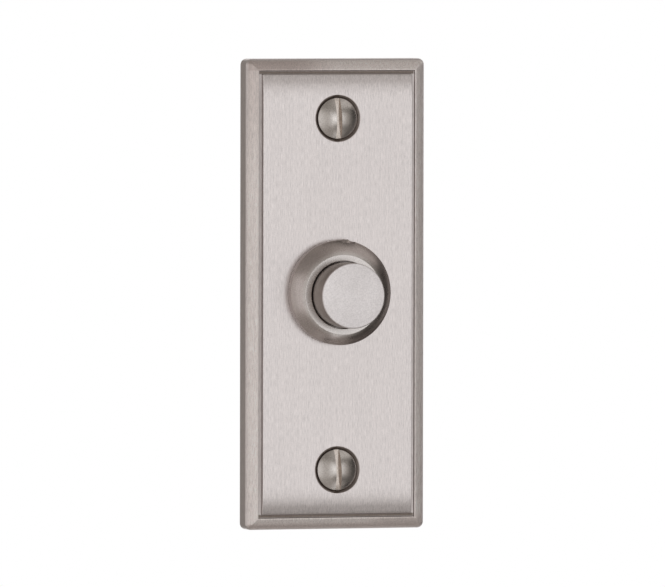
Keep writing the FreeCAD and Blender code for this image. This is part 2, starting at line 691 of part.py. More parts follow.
def terminal_base():
    """Moulded end: a stepped disc with a pocket for the stem, screw holes and a barrier behind."""
    corners = (
        ("0", "Places.strip_rear + Sizes.stem_pocket_deep"),
        ("Sizes.stem_pocket_radius", "Places.strip_rear + Sizes.stem_pocket_deep"),
        ("Sizes.stem_pocket_radius", "Places.strip_rear"),
        ("Places.chamber_radius - Sizes.base_spigot_fit", "Places.strip_rear"),
        ("Places.chamber_radius - Sizes.base_spigot_fit", "Places.housing_rear"),
        ("Places.base_radius", "Places.housing_rear"),
        ("Places.base_radius", "Places.base_rear"),
        ("0", "Places.base_rear"),
    )
    body = turned("terminal_base", corners)

    barrier = sketch_on(body, "barrier_plan", "XZ_Plane", "-(Places.base_rear)")
    rectangle(barrier, "Sizes.barrier_thick / 2", "Places.barrier_half")
    pad(body, barrier, "Sizes.barrier_high", "barrier", toward_back=True)

    holes = sketch_on(body, "base_hole_plan", "XZ_Plane", f"-(Places.strip_rear) + {CLEAR}")
    circle(holes, ("Places.terminal_from_axis", "0"), "Places.terminal_bore", "right_terminal")
    circle(holes, ("-Places.terminal_from_axis", "0"), "Places.terminal_bore", "left_terminal")
    circle(holes, ("0", "Places.base_screw_from_axis"), "Places.base_screw_bore", "upper_screw")
    circle(holes, ("0", "-Places.base_screw_from_axis"), "Places.base_screw_bore", "lower_screw")
    pocket(body, holes, f"Places.base_rear - Places.strip_rear + 2 * {CLEAR}", "base_holes")
    return body


def screw_in_base(label, place, slot_face, tip, shank, head, head_front, slot_wide, slot_deep):
    """A cheese-head screw driven from behind: its head's top faces +Y, its tip points to -Y."""
    corners = (
        ("0", tip),
        (shank, tip),
        (shank, head_front),
        (head, head_front),
        (head, slot_face),
        ("0", slot_face),
    )
    body = turned(label, corners)
    plan = sketch_on(body, f"{label}_slot_plan", "XZ_Plane", f"-({slot_face})")
    rectangle(plan, f"({head}) + {CLEAR}", f"({slot_wide}) / 2")
    pocket(body, plan, slot_deep, f"{label}_slot", toward_front=True)
    body.setExpression("Placement.Base.x", place[0])
    body.setExpression("Placement.Base.z", place[1])
    return body


def terminal(side, place):
    """One terminal: its contact strip, rivet, washer and screw. place is the side's sign."""
    strip = new_body(f"fixed_contact_{side}")
    plan = sketch_on(strip, f"strip_plan_{side}", "XZ_Plane", "-(Places.strip_front)")
    half = "Sizes.strip_wide / 2"
    corners = (
        (f"{place} * Sizes.strip_inner_end", f"-{place} * {half}"),
        (f"{place} * Places.strip_outer_end", f"-{place} * {half}"),
        (f"{place} * Places.strip_outer_end", f"{place} * {half}"),
        (f"{place} * Sizes.strip_inner_end", f"{place} * {half}"),
    )
    outline(plan, corners)
    circle(plan, (f"{place} * Sizes.rivet_from_axis", "0"), "Sizes.rivet_shank_radius", "rivet_hole")
    circle(plan, (f"{place} * Places.terminal_from_axis", "0"), "Places.terminal_bore", "screw_hole")
    pad(strip, plan, "Sizes.strip_thick", f"strip_{side}", toward_back=True)

    corners = (
        ("0", "Places.rivet_face"),
        ("Sizes.rivet_face_radius", "Places.rivet_face"),
        ("Sizes.rivet_head_radius", "Places.strip_front"),
        ("Sizes.rivet_shank_radius", "Places.strip_front"),
        ("Sizes.rivet_shank_radius", "Places.strip_rear"),
        ("0", "Places.strip_rear"),
    )
    rivet = turned(f"contact_rivet_{side}", corners)
    rivet.setExpression("Placement.Base.x", f"{place} * Sizes.rivet_from_axis")

    washer = ring(
        f"terminal_washer_{side}",
        "Places.terminal_bore",
        "Sizes.terminal_washer_radius",
        "Places.base_rear",
        "Places.terminal_washer_rear",
    )
    washer.setExpression("Placement.Base.x", f"{place} * Places.terminal_from_axis")

    screw = screw_in_base(
        f"terminal_screw_{side}",
        (f"{place} * Places.terminal_from_axis", "0"),
        "Places.terminal_washer_rear + Sizes.terminal_head_height",
        "Places.strip_front",
        "Sizes.terminal_screw_radius",
        "Sizes.terminal_head_radius",
        "Places.terminal_washer_rear",
        "Sizes.terminal_slot_wide",
        "Sizes.terminal_slot_deep",
    )
    return [strip, rivet, washer, screw]


def base_screw(side, place):
    """Small screw from behind the base into a post of the housing."""
    return screw_in_base(
        f"base_screw_{side}",
        ("0", f"{place} * Places.base_screw_from_axis"),
        "Places.base_rear + Sizes.base_screw_head_height",
        "Places.base_screw_tip",
        "Sizes.base_screw_radius",
        "Sizes.base_screw_head_radius",
        "Places.base_rear",
        "Sizes.base_screw_slot_wide",
        "Sizes.base_screw_slot_deep",
    )


def fixing_screw(side, place):
    """Slotted raised countersunk wood screw, plain where its thread runs behind the plate."""
    dome = "(Sizes.screw_head_radius^2 + Sizes.screw_dome_height^2) / (2 * Sizes.screw_dome_height)"
    label = f"fixing_screw_{side}"
    corners = (
        ("0", "Places.screw_top"),
        ("Sizes.screw_head_radius", "Places.screw_band_front"),
        ("Sizes.screw_head_radius", "Places.screw_seat"),
        ("Sizes.screw_neck_radius", "Places.screw_neck"),
        ("Sizes.screw_neck_radius", "0"),
        ("Sizes.screw_shank_radius", "0"),
        ("Sizes.screw_shank_radius", "Places.screw_tip - Sizes.screw_point_long"),
        ("Sizes.screw_point_radius", "Places.screw_tip"),
        ("0", "Places.screw_tip"),
    )
    body = turned(label, corners, {0: dome})
    reach = f"Sizes.screw_head_radius + {CLEAR}"
    slot_across(body, label, "Places.screw_top", "Sizes.screw_slot_deep", "Sizes.screw_slot_wide", reach)
    lean = Rotation(Vector(0, 1, 0), -value("Sizes.screw_slot_lean"))
    body.Placement = Placement(Vector(0, 0, 0), lean)
    body.setExpression("Placement.Base.z", f"{place} * Places.screw_z")
    return body


def check_document():
    """Every feature is sound, and every cut takes something away."""
    for item in document.Objects:
        if "Invalid" in item.State or "Error" in item.State:
            raise ValueError(f"{item.Label} did not rebuild: {item.State}")
        if item.TypeId in ("PartDesign::Pocket", "PartDesign::Groove", "PartDesign::Hole"):
            removed = item.BaseFeature.Shape.Volume - item.Shape.Volume
            if removed < 1e-4:
                raise ValueError(f"{item.Label} cuts nothing")


def write_parts(parts):
    os.makedirs("parts", exist_ok=True)
    for part in parts:
        if part.Shape.isNull() or not part.Shape.isValid():
            raise ValueError(f"{part.Label} has no sound shape")
    for part in parts:
        part.Shape.exportStep(os.path.join("parts", f"{part.Label}.step"))


def build():
    parts = [
        face_plate(),
        button_collar(),
        lock_washer(),
        collar_nut(),
        push_button(),
        return_spring(),
        insulating_bush(),
        moving_contact(),
        insulating_washer(),
        retaining_clip(),
        contact_housing(),
        terminal_base(),
    ]
    for side, place in (("left", "-1"), ("right", "1")):
        parts += terminal(side, place)
    for side, place in (("top", "1"), ("bottom", "-1")):
        parts.append(base_screw(side, place))
        parts.append(fixing_screw(side, place))
    document.recompute()
    check_document()
    write_parts(parts)


build()
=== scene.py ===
import math

import bmesh
import bpy
from mathutils import Matrix, Quaternion, Vector


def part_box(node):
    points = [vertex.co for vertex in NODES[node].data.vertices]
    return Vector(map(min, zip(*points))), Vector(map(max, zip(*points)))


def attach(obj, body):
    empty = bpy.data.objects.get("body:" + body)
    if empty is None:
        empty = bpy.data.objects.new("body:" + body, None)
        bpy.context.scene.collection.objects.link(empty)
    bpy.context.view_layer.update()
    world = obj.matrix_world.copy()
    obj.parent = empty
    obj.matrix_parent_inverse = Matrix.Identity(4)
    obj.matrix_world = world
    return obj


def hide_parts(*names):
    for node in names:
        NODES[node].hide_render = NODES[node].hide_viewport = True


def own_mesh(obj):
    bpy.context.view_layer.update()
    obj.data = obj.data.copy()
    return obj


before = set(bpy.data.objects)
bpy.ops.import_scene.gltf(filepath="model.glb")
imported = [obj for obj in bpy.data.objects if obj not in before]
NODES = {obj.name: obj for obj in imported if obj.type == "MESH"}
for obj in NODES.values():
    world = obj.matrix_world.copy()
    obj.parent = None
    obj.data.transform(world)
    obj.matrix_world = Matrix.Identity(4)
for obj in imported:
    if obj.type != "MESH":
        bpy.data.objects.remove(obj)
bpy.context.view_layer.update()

# The frame: +Z up the door, -Y out towards the finger. Lengths are written in millimetres
# and turned into metres where a mesh is made.
MM = 0.001

PLATE_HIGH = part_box("face_plate")[1]
HALF_X = PLATE_HIGH.x / MM
HALF_Z = PLATE_HIGH.z / MM
SCREW_LOW, SCREW_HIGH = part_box("fixing_screw_top")
SCREW_Z = (SCREW_LOW.z + SCREW_HIGH.z) / 2 / MM

# Camera: the photograph looks from 18 degrees to the object's left and 2 degrees above
VIEW_AZIMUTH = math.radians(-17.8)
VIEW_ELEVATION = math.radians(2.0)
VIEW_ROLL = math.radians(0.1)
VIEW_DISTANCE = 2.3
PICTURE_WIDE_PX = 665
PICTURE_HIGH_PX = 587
PIXELS_PER_METRE = 5662
SENSOR_WIDE = 36.0
# Where the middle of the plate's back falls in the photograph
PLATE_CENTRE_PX = (329.0, 293.2)

# The plate's section. As photographed, its field rolls off further at the ends and its corners
# are a little sharper than in the solids.
BORDER_WIDE = 2.08
BORDER_RISE = 1.3
BORDER_BULGE = 3.6
SIDE_WALL = 3.3
GROOVE_WIDE = 0.62
GROOVE_DEEP = 0.45
FIELD_HEIGHT = 5.05
FIELD_END_DROP = 0.52
FIELD_END_RUN = 4.8
PLATE_CORNER = 1.1
RIM_WALL = 2.2
HOLLOW_CORNER = 1.2
HOLLOW_FLOOR = 2.85
BOSS_RADIUS = 4.8
SCREW_HOLE = 1.95
SINK_RIM = 4.1
TAIL_HOLE = 8.05
# The field's edge from the plate's edge, and half the height of its flat stretch
FIELD_INSET = BORDER_WIDE + GROOVE_WIDE
FIELD_FLAT = HALF_Z - BORDER_WIDE - GROOVE_WIDE - FIELD_END_RUN

# The collar and the button, along the axis: minus is out of the door
COLLAR_FOOT = 9.25
COLLAR_FOOT_HEIGHT = 2.2
COLLAR_BEVEL = 0.4
COLLAR_HEIGHT = 3.5
COLLAR_TOP = 7.05
COLLAR_BULGE = 6.0
# How far the wall at its foot stands off centre, upwards
FOOT_OFF_CENTRE = 0.32
LIP_RADIUS = 5.94
LIP_REAR = -6.75
COLLAR_BORE = 6.5
TAIL_RADIUS = 8.0
TAIL_END = 4.5
TAIL_THREAD_PITCH = 0.9
TAIL_THREAD_DEEP = 0.42
# Burr on the collar's foot: angle from the top, half width in degrees, height
COLLAR_BURR = ((3.1, 1.6, 0.16), (7.6, 2.0, 0.22), (12.4, 2.2, -0.05), (16.5, 2.0, 0.06))
BUTTON_RADIUS = 5.76
BUTTON_FACE = -14.2
FLANGE_RADIUS = 6.45
FLANGE_REAR = -5.25
STEM_RADIUS = 2.5
STEM_SHOULDER = 6.6
SPIGOT_RADIUS = 1.0
SPIGOT_END = 10.0
CLIP_FRONT = 8.9
CLIP_REAR = 9.4
CLIP_NECK = 0.75
COIL_RADIUS = 3.9
WIRE_RADIUS = 0.35
SPRING_TURNS = 4
# Steps along a turn of the spring, sides of its wire, and how far its end turns close up
TURN_STEPS = 40
WIRE_SIDES = 12
END_CLOSING = 0.8
# The fixing screws
HEAD_RADIUS = 3.6
DOME_HEIGHT = 1.2
DOME_RADIUS = (HEAD_RADIUS**2 + DOME_HEIGHT**2) / (2 * DOME_HEIGHT)
SCREW_SEAT = -4.58
BAND_FRONT = -4.83
SCREW_TOP = -6.03
SLOT_WIDE = 0.98
SLOT_DEEP = 1.05
# How far the slot's floor follows the dome
SLOT_BOW = 0.25
SLOT_LEAN = 2.5
NECK_RADIUS = 1.45
NECK_END = 0.3
SHANK_RADIUS = 1.75
CORE_RADIUS = 1.2
THREAD_START = 0.15
THREAD_PITCH = 1.3
# Half the width of the thread's crest, as a share of its pitch
THREAD_CREST = 0.3
POINT_LONG = 4.5
POINT_RADIUS = 0.05
POINT_TAPER = 0.8
SCREW_TIP = 20.42
# Sharp edges softened with a bevel
EDGE_ANGLE = math.radians(38)
EDGE_SOFT = 0.08
SLOT_EDGE_SOFT = 0.07

# Where painted shade makes the collar's foot and the button's side darker along Y, how far the plate's
# front reaches back, and a distance beyond the part for the open side of a mask
FOOT_SHADE_ZONE = (-FIELD_HEIGHT - COLLAR_FOOT_HEIGHT - 1.1, -FIELD_HEIGHT + 0.5)
SIDE_SHADE_ZONE = (BUTTON_FACE + 0.25, LIP_REAR)
BORDER_REAR = -3.6
SINK_REAR = -0.5
BEYOND = 1000.0
PLATE_COLOUR = (0.725, 0.675, 0.665)
BORDER_COLOUR = (0.95, 0.89, 0.87)
# Darker border colour, painted shade along the bottom edge
BORDER_DARK_COLOUR = (0.66, 0.58, 0.555)
# Painted shade for the plate's groove and countersinks
RECESS_SHADE_COLOUR = (0.17, 0.14, 0.122)
SCREW_COLOUR = (0.66, 0.62, 0.59)
# Painted shade inside the screws' slots
SLOT_SHADE_COLOUR = (0.60, 0.53, 0.48)
COLLAR_COLOUR = (0.68, 0.64, 0.62)
# Painted shade on the collar's flank and foot, next to the plate
FOOT_SHADE_COLOUR = (0.53, 0.47, 0.45)
BUTTON_COLOUR = (0.71, 0.67, 0.665)
# Painted shade on the button's side
SIDE_SHADE_COLOUR = (0.42, 0.375, 0.35)

# The stage
TENT_RADIUS = 1500
FLOOR_RADIUS = 600
FLOOR_LEVEL = -160
FLOOR_GREY = 0.78
FLOOR_GLOW = 0.45
WORLD_ON_DIFFUSE = 0.85
NOISE_ROUGHNESS = 0.55


# Mesh helpers

def from_bmesh(name, bm, smooth_angle=30.0):
    """A linked object from a bmesh, still in millimetres, smooth up to an angle between faces."""
    bmesh.ops.recalc_face_normals(bm, faces=bm.faces)
    if bm.calc_volume(signed=True) < 0:
        bmesh.ops.reverse_faces(bm, faces=bm.faces)
    mesh = bpy.data.meshes.new(name)
    bm.to_mesh(mesh)
    bm.free()
    piece = bpy.data.objects.new(name, mesh)
    bpy.context.scene.collection.objects.link(piece)
    shade(piece, smooth_angle)
    return piece


def to_metres(piece):
    piece.data.transform(Matrix.Scale(MM, 4))
    return piece


def shade(piece, smooth_angle):
    mesh = piece.data
    mesh.polygons.foreach_set("use_smooth", [True] * len(mesh.polygons))
    mesh.set_sharp_from_angle(angle=math.radians(smooth_angle))
    mesh.update()


def arc_points(start, end, radius, steps):
    """Points strictly between start and end on an arc that bulges to the left of the way there."""
    start = Vector(start)
    end = Vector(end)
    chord = end - start
    left = Vector((-chord.y, chord.x)).normalized()
    half = chord.length / 2
    to_centre = math.sqrt(radius**2 - half**2)
    centre = (start + end) / 2 - left * to_centre
    first = math.atan2(start.y - centre.y, start.x - centre.x)
    last = math.atan2(end.y - centre.y, end.x - centre.x)
    sweep = (last - first + math.pi) % (2 * math.pi) - math.pi
    return [
        (
            centre.x + radius * math.cos(first + sweep * step / steps),
            centre.y + radius * math.sin(first + sweep * step / steps),
        )
        for step in range(1, steps)
    ]


def softened(points, steps=4):
    """Replace each (a, b, radius) corner of a line with a small curve of that radius."""
    result = []
    count = len(points)
    for number, point in enumerate(points):
        here = Vector(point[:2])
        radius = point[2] if len(point) > 2 else 0
        if not radius or number in (0, count - 1):
            result.append((here.x, here.y))
            continue
        before = Vector(points[number - 1][:2]) - here
        after = Vector(points[number + 1][:2]) - here
        turn = math.pi - before.angle(after)
        reach = min(radius * math.tan(turn / 2), 0.45 * before.length, 0.45 * after.length)
        enter = here + before.normalized() * reach
        leave = here + after.normalized() * reach
        for step in range(steps + 1):
            share = step / steps
            near = enter.lerp(here, share)
            far = here.lerp(leave, share)
            curved = near.lerp(far, share)
            result.append((curved.x, curved.y))
    return result


def lathe(bm, profile, segments, centre=(0.0, 0.0)):
    """Turn (radius, y) points about an axis along Y. An end on the axis is closed by a point."""
    rings = []
    for radius, along in profile:
        if radius < 1e-6:
            rings.append([bm.verts.new((centre[0], along, centre[1]))])
            continue
        ring = []
        for segment in range(segments):
            angle = 2 * math.pi * segment / segments
            ring.append(
                bm.verts.new(
                    (centre[0] + radius * math.cos(angle), along, centre[1] + radius * math.sin(angle))
                )
            )
        rings.append(ring)
    join_rings(bm, rings)
    return rings


def join_rings(bm, rings):
    for one, two in zip(rings, rings[1:]):
        count = max(len(one), len(two))
        for number in range(count):
            following = (number + 1) % count
            if len(one) == 1:
                bm.faces.new((one[0], two[following], two[number]))
            elif len(two) == 1:
                bm.faces.new((one[number], one[following], two[0]))
            else:
                bm.faces.new((one[number], one[following], two[following], two[number]))


def turned_piece(name, profile, segments):
    bm = bmesh.new()
    lathe(bm, profile, segments)
    return from_bmesh(name, bm)


def boolean(piece, other, operation):
    """Cut other from piece or add it, apply the result, and remove other."""
    modifier = piece.modifiers.new("boolean", "BOOLEAN")
    modifier.operation = operation
    modifier.solver = "EXACT"
    modifier.object = other
    apply_modifiers(piece)
    bpy.data.objects.remove(other)


def flat_faces_stay_flat(piece):
    """Normals that follow the larger faces, so long cut faces shade evenly."""
    weighted = piece.modifiers.new("normals", "WEIGHTED_NORMAL")
    weighted.weight = 80
    weighted.keep_sharp = True
    apply_modifiers(piece)


def joined(name, pieces):
    """One object out of several, in their order."""
    bm = bmesh.new()
    for piece in pieces:
        bm.from_mesh(piece.data)
    mesh = bpy.data.meshes.new(name)
    bm.to_mesh(mesh)
    bm.free()
    whole = bpy.data.objects.new(name, mesh)
    bpy.context.scene.collection.objects.link(whole)
    for piece in pieces:
        bpy.data.objects.remove(piece)
    return whole


def apply_modifiers(piece):
    graph = bpy.context.evaluated_depsgraph_get()
    made = bpy.data.meshes.new_from_object(piece.evaluated_get(graph))
    piece.modifiers.clear()
    piece.data = made


def soften_edges(piece, width, segments, outer_miter="MITER_SHARP"):
    edge = piece.modifiers.new("edge", "BEVEL")
    edge.width = width
    edge.segments = segments
    edge.limit_method = "ANGLE"
    edge.angle_limit = EDGE_ANGLE
    edge.miter_outer = outer_miter
    apply_modifiers(piece)


def dressed(node, join_flats=True):
    """A copy of a CAD node's own form with its seams joined and its sharp edges softened."""
    piece = bpy.data.objects.new(f"{node}_dressed", NODES[node].data.copy())
    bpy.context.scene.collection.objects.link(piece)
    piece.data.transform(Matrix.Scale(1 / MM, 4))
    bm = bmesh.new()
    bm.from_mesh(piece.data)
    bmesh.ops.remove_doubles(bm, verts=bm.verts, dist=2e-3)
    if join_flats:
        bmesh.ops.dissolve_limit(bm, angle_limit=math.radians(0.6), verts=bm.verts, edges=bm.edges)
    bm.to_mesh(piece.data)
    bm.free()
    piece.data.materials.clear()
    soften_edges(piece, EDGE_SOFT, 2, "MITER_ARC")
    shade(piece, 35)
    return piece


def keep_as(piece, body, nodes, material):
    """A finished piece in metres, on a body, in the place of its CAD nodes and with a material."""
    to_metres(piece)
    piece.data.materials.clear()
    piece.data.materials.append(material)
    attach(piece, body)
    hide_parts(*nodes)
    return piece


# Materials

def node_in(tree, kind, **settings):
    node = tree.nodes.new(kind)
    for key, value in settings.items():
        setattr(node, key, value)
    return node


def maths(tree, operation, one, two=None):
    node = node_in(tree, "ShaderNodeMath", operation=operation)
    for index, given in enumerate((one, two)):
        if given is None:
            continue
        if isinstance(given, (int, float)):
            node.inputs[index].default_value = given
        else:
            tree.links.new(given, node.inputs[index])
    return node.outputs[0]


def times(tree, one, two):
    return maths(tree, "MULTIPLY", one, two)


def plus(tree, one, two):
    return maths(tree, "ADD", one, two)


def minus(tree, one, two):
    return maths(tree, "SUBTRACT", one, two)


def larger(tree, one, two):
    return maths(tree, "MAXIMUM", one, two)


def parted(tree, vector):
    """The x, y and z of a vector."""
    split = node_in(tree, "ShaderNodeSeparateXYZ")
    tree.links.new(vector, split.inputs[0])
    return tuple(split.outputs)


def vector_of(tree, **parts):
    """A vector from those of X, Y and Z that are given."""
    vector = node_in(tree, "ShaderNodeCombineXYZ")
    for axis, part in parts.items():
        tree.links.new(part, vector.inputs[axis])
    return vector.outputs[0]


def length_of(tree, vector):
    length = node_in(tree, "ShaderNodeVectorMath", operation="LENGTH")
    tree.links.new(vector, length.inputs[0])
    return length.outputs["Value"]


def stretched_noise(tree, coordinates, scale, detail):
    """Noise whose scale along each axis is given in waves a metre."""
    mapping = node_in(tree, "ShaderNodeMapping")
    mapping.inputs["Scale"].default_value = scale
    tree.links.new(coordinates, mapping.inputs["Vector"])
    noise = node_in(tree, "ShaderNodeTexNoise")
    noise.inputs["Scale"].default_value = 1.0
    noise.inputs["Detail"].default_value = detail
    noise.inputs["Roughness"].default_value = NOISE_ROUGHNESS
    tree.links.new(mapping.outputs["Vector"], noise.inputs["Vector"])
    return noise.outputs["Fac"]


def ranged(tree, source, low, high, from_low=0.3, from_high=0.7):
    node = node_in(tree, "ShaderNodeMapRange")
    tree.links.new(source, node.inputs["Value"])
    node.inputs["From Min"].default_value = from_low
    node.inputs["From Max"].default_value = from_high
    node.inputs["To Min"].default_value = low
    node.inputs["To Max"].default_value = high
    return node.outputs["Result"]


def band_mask(tree, value, low, high, soft):
    """One between two values and nought outside them, with soft edges."""
    rise = node_in(tree, "ShaderNodeMapRange", interpolation_type="SMOOTHSTEP")
    fall = node_in(tree, "ShaderNodeMapRange", interpolation_type="SMOOTHSTEP")
    for node, first, last in (
        (rise, low - soft / 2, low + soft / 2),
        (fall, high + soft / 2, high - soft / 2),
    ):
        tree.links.new(value, node.inputs["Value"])
        node.inputs["From Min"].default_value = first
        node.inputs["From Max"].default_value = last
    return times(tree, rise.outputs[0], fall.outputs[0])


def zone_mask(tree, place, low, high, soft):
    """The same for a place in the object's frame, with its limits in millimetres."""
    return band_mask(tree, place, low * MM, high * MM, soft * MM)


def mixed_colour(tree, mask, one, two):
    """Colour one where the mask is nought, colour two where it is one."""
    node = node_in(tree, "ShaderNodeMix", data_type="RGBA")
    tree.links.new(mask, node.inputs[0])
    for socket, given in ((node.inputs[6], one), (node.inputs[7], two)):
        if isinstance(given, tuple):
            socket.default_value = (*given, 1)
        else:
            tree.links.new(given, socket)
    return node.outputs[2]


def tinted(tree, colour, brightness):
    """A colour times a varying brightness."""
    node = node_in(tree, "ShaderNodeVectorMath", operation="SCALE")
    node.inputs[0].default_value = colour
    tree.links.new(brightness, node.inputs["Scale"])
    return node.outputs[0]


def bumped(tree, shader, height, distance, strength):
    """Relief whose depth is given in millimetres."""
    bump = node_in(tree, "ShaderNodeBump")
    bump.inputs["Strength"].default_value = strength
    bump.inputs["Distance"].default_value = distance * MM
    tree.links.new(height, bump.inputs["Height"])
    tree.links.new(bump.outputs["Normal"], shader.inputs["Normal"])


def new_material(name, metallic, anisotropy=0.0):
    material = bpy.data.materials.new(name)
    material.use_nodes = True
    tree = material.node_tree
    shader = tree.nodes["Principled BSDF"]
    shader.inputs["Metallic"].default_value = metallic
    shader.inputs["Anisotropic"].default_value = anisotropy
    coordinates = node_in(tree, "ShaderNodeTexCoord").outputs["Object"]
    return material, tree, shader, coordinates


def straight_tangent(tree, shader):
    """The sheen spreads across a grain that runs along Z."""
    geometry = node_in(tree, "ShaderNodeNewGeometry")
    cross = node_in(tree, "ShaderNodeVectorMath", operation="CROSS_PRODUCT")
    cross.inputs[0].default_value = (0, 0, 1)
    tree.links.new(geometry.outputs["Normal"], cross.inputs[1])
    tree.links.new(cross.outputs[0], shader.inputs["Tangent"])


def turned_tangent(tree, shader, coordinates):
    """The sheen spreads across a grain that runs round the button's axis."""
    geometry = node_in(tree, "ShaderNodeNewGeometry")
    around = node_in(tree, "ShaderNodeVectorMath", operation="CROSS_PRODUCT")
    around.inputs[0].default_value = (0, 1, 0)
    tree.links.new(coordinates, around.inputs[1])
    across = node_in(tree, "ShaderNodeVectorMath", operation="CROSS_PRODUCT")
    tree.links.new(around.outputs[0], across.inputs[0])
    tree.links.new(geometry.outputs["Normal"], across.inputs[1])
    tree.links.new(across.outputs[0], shader.inputs["Tangent"])


def radius_of(tree, coordinates):
    """Distance from the axis along Y."""
    flat = node_in(tree, "ShaderNodeVectorMath", operation="MULTIPLY")
    flat.inputs[1].default_value = (1, 0, 1)
    tree.links.new(coordinates, flat.inputs[0])
    return length_of(tree, flat.outputs[0])


def inset_of(tree, x, z):
    """Distance from the plate's edge in plan."""
    from_side = minus(tree, HALF_X * MM, maths(tree, "ABSOLUTE", x))
    from_end = minus(tree, HALF_Z * MM, maths(tree, "ABSOLUTE", z))
    return maths(tree, "MINIMUM", from_side, from_end)


def recess_shade(tree, x, y, z, in_front):
    """Painted shade: one in the groove and in the countersinks of the screws. The side grooves get less of
    it than the ends.
    """
    upright = maths(tree, "ABSOLUTE", z)
    inset = inset_of(tree, x, z)
    groove = zone_mask(tree, inset, BORDER_WIDE, FIELD_INSET, 0.12)
    floor = zone_mask(tree, inset, BORDER_WIDE + 0.15, FIELD_INSET - 0.1, 0.1)
    groove = plus(tree, times(tree, groove, 0.45), times(tree, floor, 0.55))
    ends = zone_mask(tree, upright, HALF_Z - FIELD_INSET, BEYOND, 0.2)
    groove = times(tree, groove, ranged(tree, ends, 0.42, 1.0, 0.0, 1.0))
    groove = times(tree, groove, in_front)
    from_screw = vector_of(tree, X=x, Z=minus(tree, upright, SCREW_Z * MM))
    sink = zone_mask(tree, radius_of(tree, from_screw), -BEYOND, SINK_RIM, 0.1)
    ahead = zone_mask(tree, y, -BEYOND, SINK_REAR, 0.2)
    return larger(tree, groove, times(tree, times(tree, sink, ahead), 0.8))


def border_darkening_and_shade(tree, x, z):
    """Where the border is darker: at the top left, at the bottom right, and along its downward-facing
    bottom edge, where the darkening is painted shade.
    """
    above = zone_mask(tree, z, HALF_Z - BORDER_WIDE, BEYOND, 0.2)
    upper = zone_mask(tree, z, 30, BEYOND, 30)
    leftward = zone_mask(tree, x, -BEYOND, -4, 9)
    top_left = times(tree, larger(tree, times(tree, above, 0.8), times(tree, upper, 0.45)), leftward)
    below = zone_mask(tree, z, -BEYOND, BORDER_WIDE - HALF_Z, 3)
    rightward = zone_mask(tree, x, 7, BEYOND, 6)
    bottom_right = times(tree, times(tree, below, rightward), 0.55)
    # Painted shade along the bottom edge, which faces down
    bottom_edge = times(tree, zone_mask(tree, z, -BEYOND, 0.9 - HALF_Z, 0.8), 0.7)
    return larger(tree, larger(tree, top_left, bottom_right), bottom_edge)


def linished_nickel():
    """Satin nickel linished along the plate, with a coarser border that is darker in places, and painted
    shade in the groove and the countersinks.
    """
    material, tree, shader, coordinates = new_material("linished_nickel", 1.0, 0.4)
    straight_tangent(tree, shader)
    hairs = stretched_noise(tree, coordinates, (9500, 9500, 800), 2.0)
    bands = stretched_noise(tree, coordinates, (4200, 4200, 110), 3.0)
    speckle = stretched_noise(tree, coordinates, (7500, 7500, 7500), 1.0)
    clouds = stretched_noise(tree, coordinates, (120, 120, 60), 2.0)
    grain = plus(tree, times(tree, hairs, 0.5), times(tree, bands, 0.25))
    grain = plus(tree, grain, times(tree, speckle, 0.25))
    bright_grain = ranged(tree, grain, 0.82, 1.15, 0.38, 0.62)
    brightness = plus(tree, bright_grain, ranged(tree, clouds, -0.015, 0.015))
    x, y, z = parted(tree, coordinates)
    in_front = zone_mask(tree, y, -BEYOND, BORDER_REAR, 0.4)
    border = times(tree, zone_mask(tree, inset_of(tree, x, z), -BEYOND, BORDER_WIDE, 0.1), in_front)
    darker_border = tinted(tree, BORDER_DARK_COLOUR, brightness)
    border_tone = mixed_colour(tree, border_darkening_and_shade(tree, x, z), tinted(tree, BORDER_COLOUR, brightness), darker_border)
    metal = mixed_colour(tree, border, tinted(tree, PLATE_COLOUR, brightness), border_tone)
    # Painted shade darkens the groove and the countersinks
    shaded_recess = tinted(tree, RECESS_SHADE_COLOUR, brightness)
    metal = mixed_colour(tree, recess_shade(tree, x, y, z, in_front), metal, shaded_recess)
    tree.links.new(metal, shader.inputs["Base Color"])
    rough = plus(tree, ranged(tree, bands, 0.29, 0.35), times(tree, border, 0.30))
    tree.links.new(rough, shader.inputs["Roughness"])
    bumped(tree, shader, grain, 0.012, 0.6)
    return material


def turned_nickel(name, colour, roughness, zone, zone_shade_colour, zone_soft):
    """Satin nickel over a turned surface: fine rings, soft clouds, and a zone along Y of painted shade in
    a darker colour.
    """
    material, tree, shader, coordinates = new_material(name, 1.0, 0.3)
    turned_tangent(tree, shader, coordinates)
    along = parted(tree, coordinates)[1]
    line = vector_of(tree, X=radius_of(tree, coordinates), Y=along)
    rings = stretched_noise(tree, line, (11000, 9000, 1), 2.0)
    clouds = stretched_noise(tree, coordinates, (260, 260, 260), 3.0)
    speckle = stretched_noise(tree, coordinates, (4200, 4200, 4200), 3.0)
    brightness = plus(tree, ranged(tree, rings, 0.96, 1.03), ranged(tree, clouds, -0.03, 0.02))
    brightness = plus(tree, brightness, ranged(tree, speckle, -0.11, 0.11))
    in_zone = zone_mask(tree, along, *zone, zone_soft)
    # Painted shade: the zone takes a darker colour
    zone_shaded = tinted(tree, zone_shade_colour, brightness)
    metal = mixed_colour(tree, in_zone, tinted(tree, colour, brightness), zone_shaded)
    tree.links.new(metal, shader.inputs["Base Color"])
    tree.links.new(ranged(tree, clouds, roughness - 0.03, roughness + 0.04), shader.inputs["Roughness"])
    bumped(tree, shader, rings, 0.006, 0.5)
    return material


def plain_metal(name, colour, roughness):
    """Small machined parts: faint tool marks and a little tarnish."""
    material, tree, shader, coordinates = new_material(name, 1.0)
    marks = stretched_noise(tree, coordinates, (2400, 2400, 2400), 4.0)
    tarnish = stretched_noise(tree, coordinates, (330, 330, 330), 3.0)
    brightness = plus(tree, ranged(tree, marks, 0.95, 1.03), ranged(tree, tarnish, -0.08, 0.03))
    tree.links.new(tinted(tree, colour, brightness), shader.inputs["Base Color"])
    tree.links.new(ranged(tree, tarnish, roughness - 0.05, roughness + 0.08), shader.inputs["Roughness"])
    bumped(tree, shader, marks, 0.008, 0.5)
    return material


